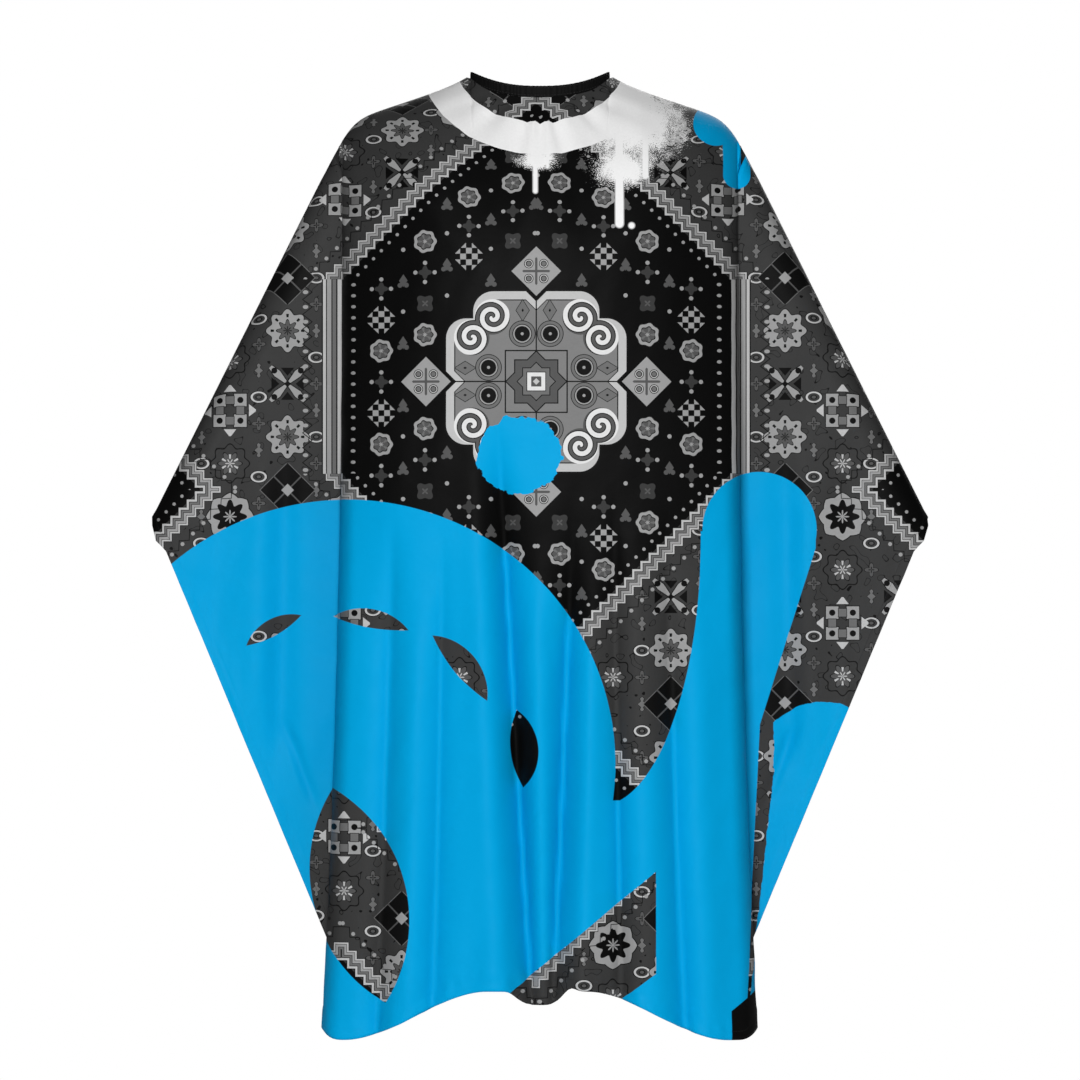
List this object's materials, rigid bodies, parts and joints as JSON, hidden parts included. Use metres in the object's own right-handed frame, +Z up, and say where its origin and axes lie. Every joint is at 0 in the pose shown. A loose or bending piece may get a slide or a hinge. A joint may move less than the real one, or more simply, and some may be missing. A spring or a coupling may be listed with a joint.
{
  "type": "barber cape",
  "caption": "Draped cloth cape with wide arm wings, a bound neckband and a press-stud closure tab at the nape.",
  "frame": {"origin": "middle of the neck opening, at the level of the band's front", "axes": "+Z up, the front of the cape faces -Y, +X is the right arm in a front view"},
  "size_m": [0.835, 0.2666, 1.0411],
  "materials": {
    "cape_cloth": "printed satin polyester",
    "binding": "matte woven binding",
    "snap_plastic": "moulded resin"
  },
  "bodies": {
    "root": {"cape_front": "cape_cloth", "cape_left_wing_front": "cape_cloth", "cape_left_wing_back": "cape_cloth", "cape_right_wing_front": "cape_cloth", "cape_right_wing_back": "cape_cloth", "cape_back_left": "cape_cloth", "cape_back_right": "cape_cloth", "neckband": "binding", "snap_stud_1": "snap_plastic", "snap_stud_2": "snap_plastic", "snap_stud_3": "snap_plastic", "snap_stud_4": "snap_plastic", "snap_stud_5": "snap_plastic", "snap_post_1": "snap_plastic", "snap_post_2": "snap_plastic", "snap_post_3": "snap_plastic", "snap_post_4": "snap_plastic", "snap_post_5": "snap_plastic"},
    "closure_tab": {"closure_tab_base": "binding"},
    "closure_tab_end": {"closure_tab_tip": "binding", "snap_socket_1": "snap_plastic", "snap_socket_2": "snap_plastic", "snap_cap_1": "snap_plastic", "snap_cap_2": "snap_plastic"}
  },
  "joints": [
    {"name": "tab_peel", "type": "hinge", "parent": "root", "child": "closure_tab", "pos_m": [0.00822, 0.06403, -0.009], "axis": [0, 0, -1], "range_deg": [0, 100]},
    {"name": "tab_end_bend", "type": "hinge", "parent": "closure_tab", "child": "closure_tab_end", "pos_m": [-0.01172, 0.06707, -0.009], "axis": [0, 0, -1], "range_deg": [0, 75]}
  ]
}
